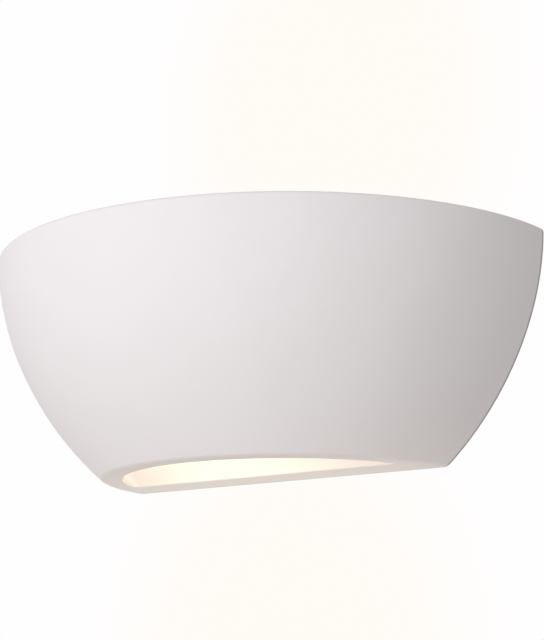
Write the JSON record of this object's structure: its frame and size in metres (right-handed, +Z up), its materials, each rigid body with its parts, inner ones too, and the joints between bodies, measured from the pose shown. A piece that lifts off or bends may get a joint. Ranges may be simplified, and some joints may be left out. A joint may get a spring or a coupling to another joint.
{
  "type": "wall uplighter",
  "caption": "Half-bowl plaster wall uplighter, open above and below, clamped to a steel wall strap with a screw-in lamp inside.",
  "frame": {"origin": "on the wall plane, midway between the two wall slots; the lamp's axis is at the same height", "axes": "+X to the right seen from the room, +Z up, +Y into the wall; the front faces -Y"},
  "size_m": [0.3, 0.1499, 0.112],
  "materials": {
    "plaster": "matte",
    "nickel_steel": "satin",
    "fibre": "matte",
    "zinc_steel": "satin",
    "rubber": "matte",
    "rivet_aluminium": "satin",
    "brass": "satin",
    "white_plastic": "satin",
    "insert_ceramic": "matte",
    "clear_plastic": "satin",
    "tinned_copper": "satin",
    "brown_sleeve": "matte",
    "blue_sleeve": "matte",
    "green_sleeve": "matte",
    "black_plastic": "gloss",
    "lamp_plastic": "satin",
    "board": "satin",
    "diode": "gloss",
    "opal_plastic": "satin"
  },
  "bodies": {
    "wall_assembly": {"wall_strap": "zinc_steel", "clinch_nuts": "nickel_steel", "cable_grommet": "rubber", "lampholder_bracket": "zinc_steel", "bracket_rivets": "rivet_aluminium", "lampholder_nipple": "brass", "lampholder_lock_nut": "brass", "lampholder_cap": "white_plastic", "lampholder_insert": "insert_ceramic", "lampholder_terminals": "brass", "lampholder_screw_shell": "brass", "lampholder_centre_contact": "brass", "lampholder_skirt": "white_plastic", "terminal_block": "clear_plastic", "terminal_tubes": "brass", "terminal_clamp_screws": "nickel_steel", "terminal_block_screw": "nickel_steel", "earth_screw": "brass", "earth_washer": "nickel_steel", "earth_tag": "tinned_copper", "live_wire": "brown_sleeve", "neutral_wire": "blue_sleeve", "earth_wire": "green_sleeve"},
    "shade": {"plaster_shade": "plaster", "thumb_screw_washers": "fibre"},
    "left_thumb_screw": {"thumb_screw_left": "nickel_steel"},
    "right_thumb_screw": {"thumb_screw_right": "nickel_steel"},
    "lamp": {"lamp_contact": "nickel_steel", "lamp_insulator": "black_plastic", "lamp_screw_shell": "nickel_steel", "lamp_housing": "lamp_plastic", "lamp_driver_board": "board", "lamp_led_board": "rivet_aluminium", "lamp_diodes": "diode", "lamp_globe": "opal_plastic"}
  },
  "joints": [
    {"name": "shade_lift_off", "type": "slide", "parent": "wall_assembly", "child": "shade", "axis": [0, -1, 0], "range_m": [0, 0.12]},
    {"name": "left_thumb_screw_turn", "type": "hinge", "parent": "shade", "child": "left_thumb_screw", "pos_m": [-0.103, -0.02, 0], "axis": [0, -1, 0], "continuous": true},
    {"name": "right_thumb_screw_turn", "type": "hinge", "parent": "shade", "child": "right_thumb_screw", "pos_m": [0.103, -0.02, 0], "axis": [0, -1, 0], "continuous": true},
    {"name": "lamp_unscrew", "type": "slide", "parent": "wall_assembly", "child": "lamp", "axis": [-1, 0, 0], "range_m": [0, 0.03]}
  ]
}
